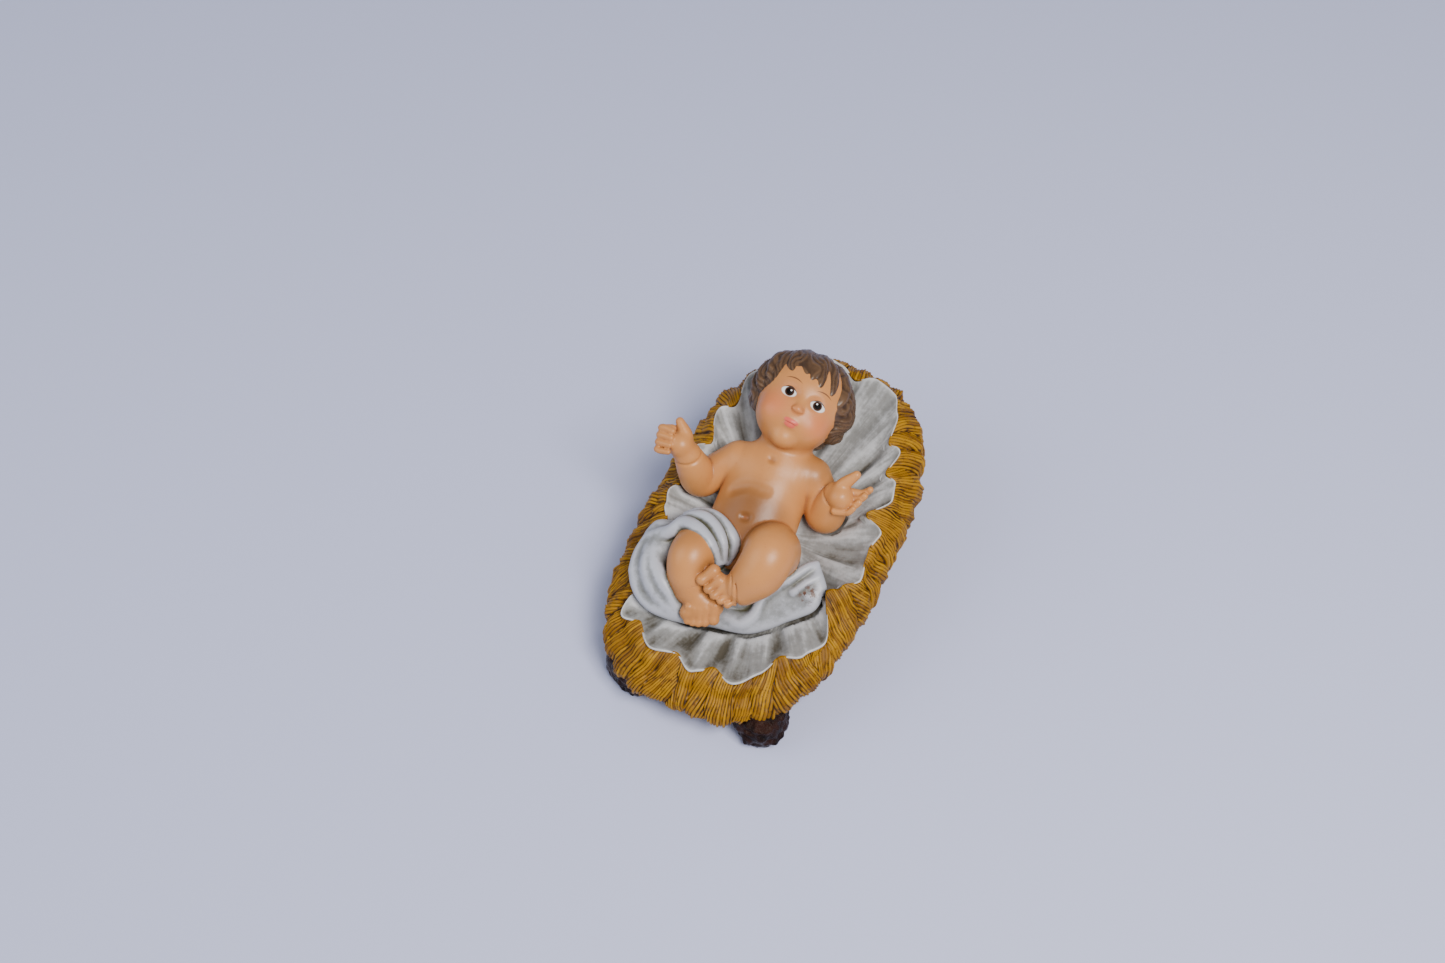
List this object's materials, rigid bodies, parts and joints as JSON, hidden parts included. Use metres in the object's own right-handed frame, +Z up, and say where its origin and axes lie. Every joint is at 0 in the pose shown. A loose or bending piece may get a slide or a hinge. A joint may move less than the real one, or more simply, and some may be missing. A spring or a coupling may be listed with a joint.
{
  "type": "infant figurine in a straw crib",
  "caption": "Painted resin infant with open arms and a swaddling cloth, lying loose on a ruffled sheet in a sloping straw crib with bark stub feet.",
  "frame": {"origin": "Centre of the footprint, on the plane of the four feet's undersides.", "axes": "+Y runs along the crib's length to the head end, +X to the infant's left and +Z up."},
  "size_m": [0.0922, 0.1434, 0.0784],
  "materials": {
    "painted_resin_skin": "hand-painted cast resin with a satin lacquer",
    "painted_resin_straw": "hand-painted cast resin with a dark wash and a satin lacquer"
  },
  "bodies": {
    "root": {"baby": "painted_resin_skin", "crib": "painted_resin_straw"}
  },
  "joints": []
}
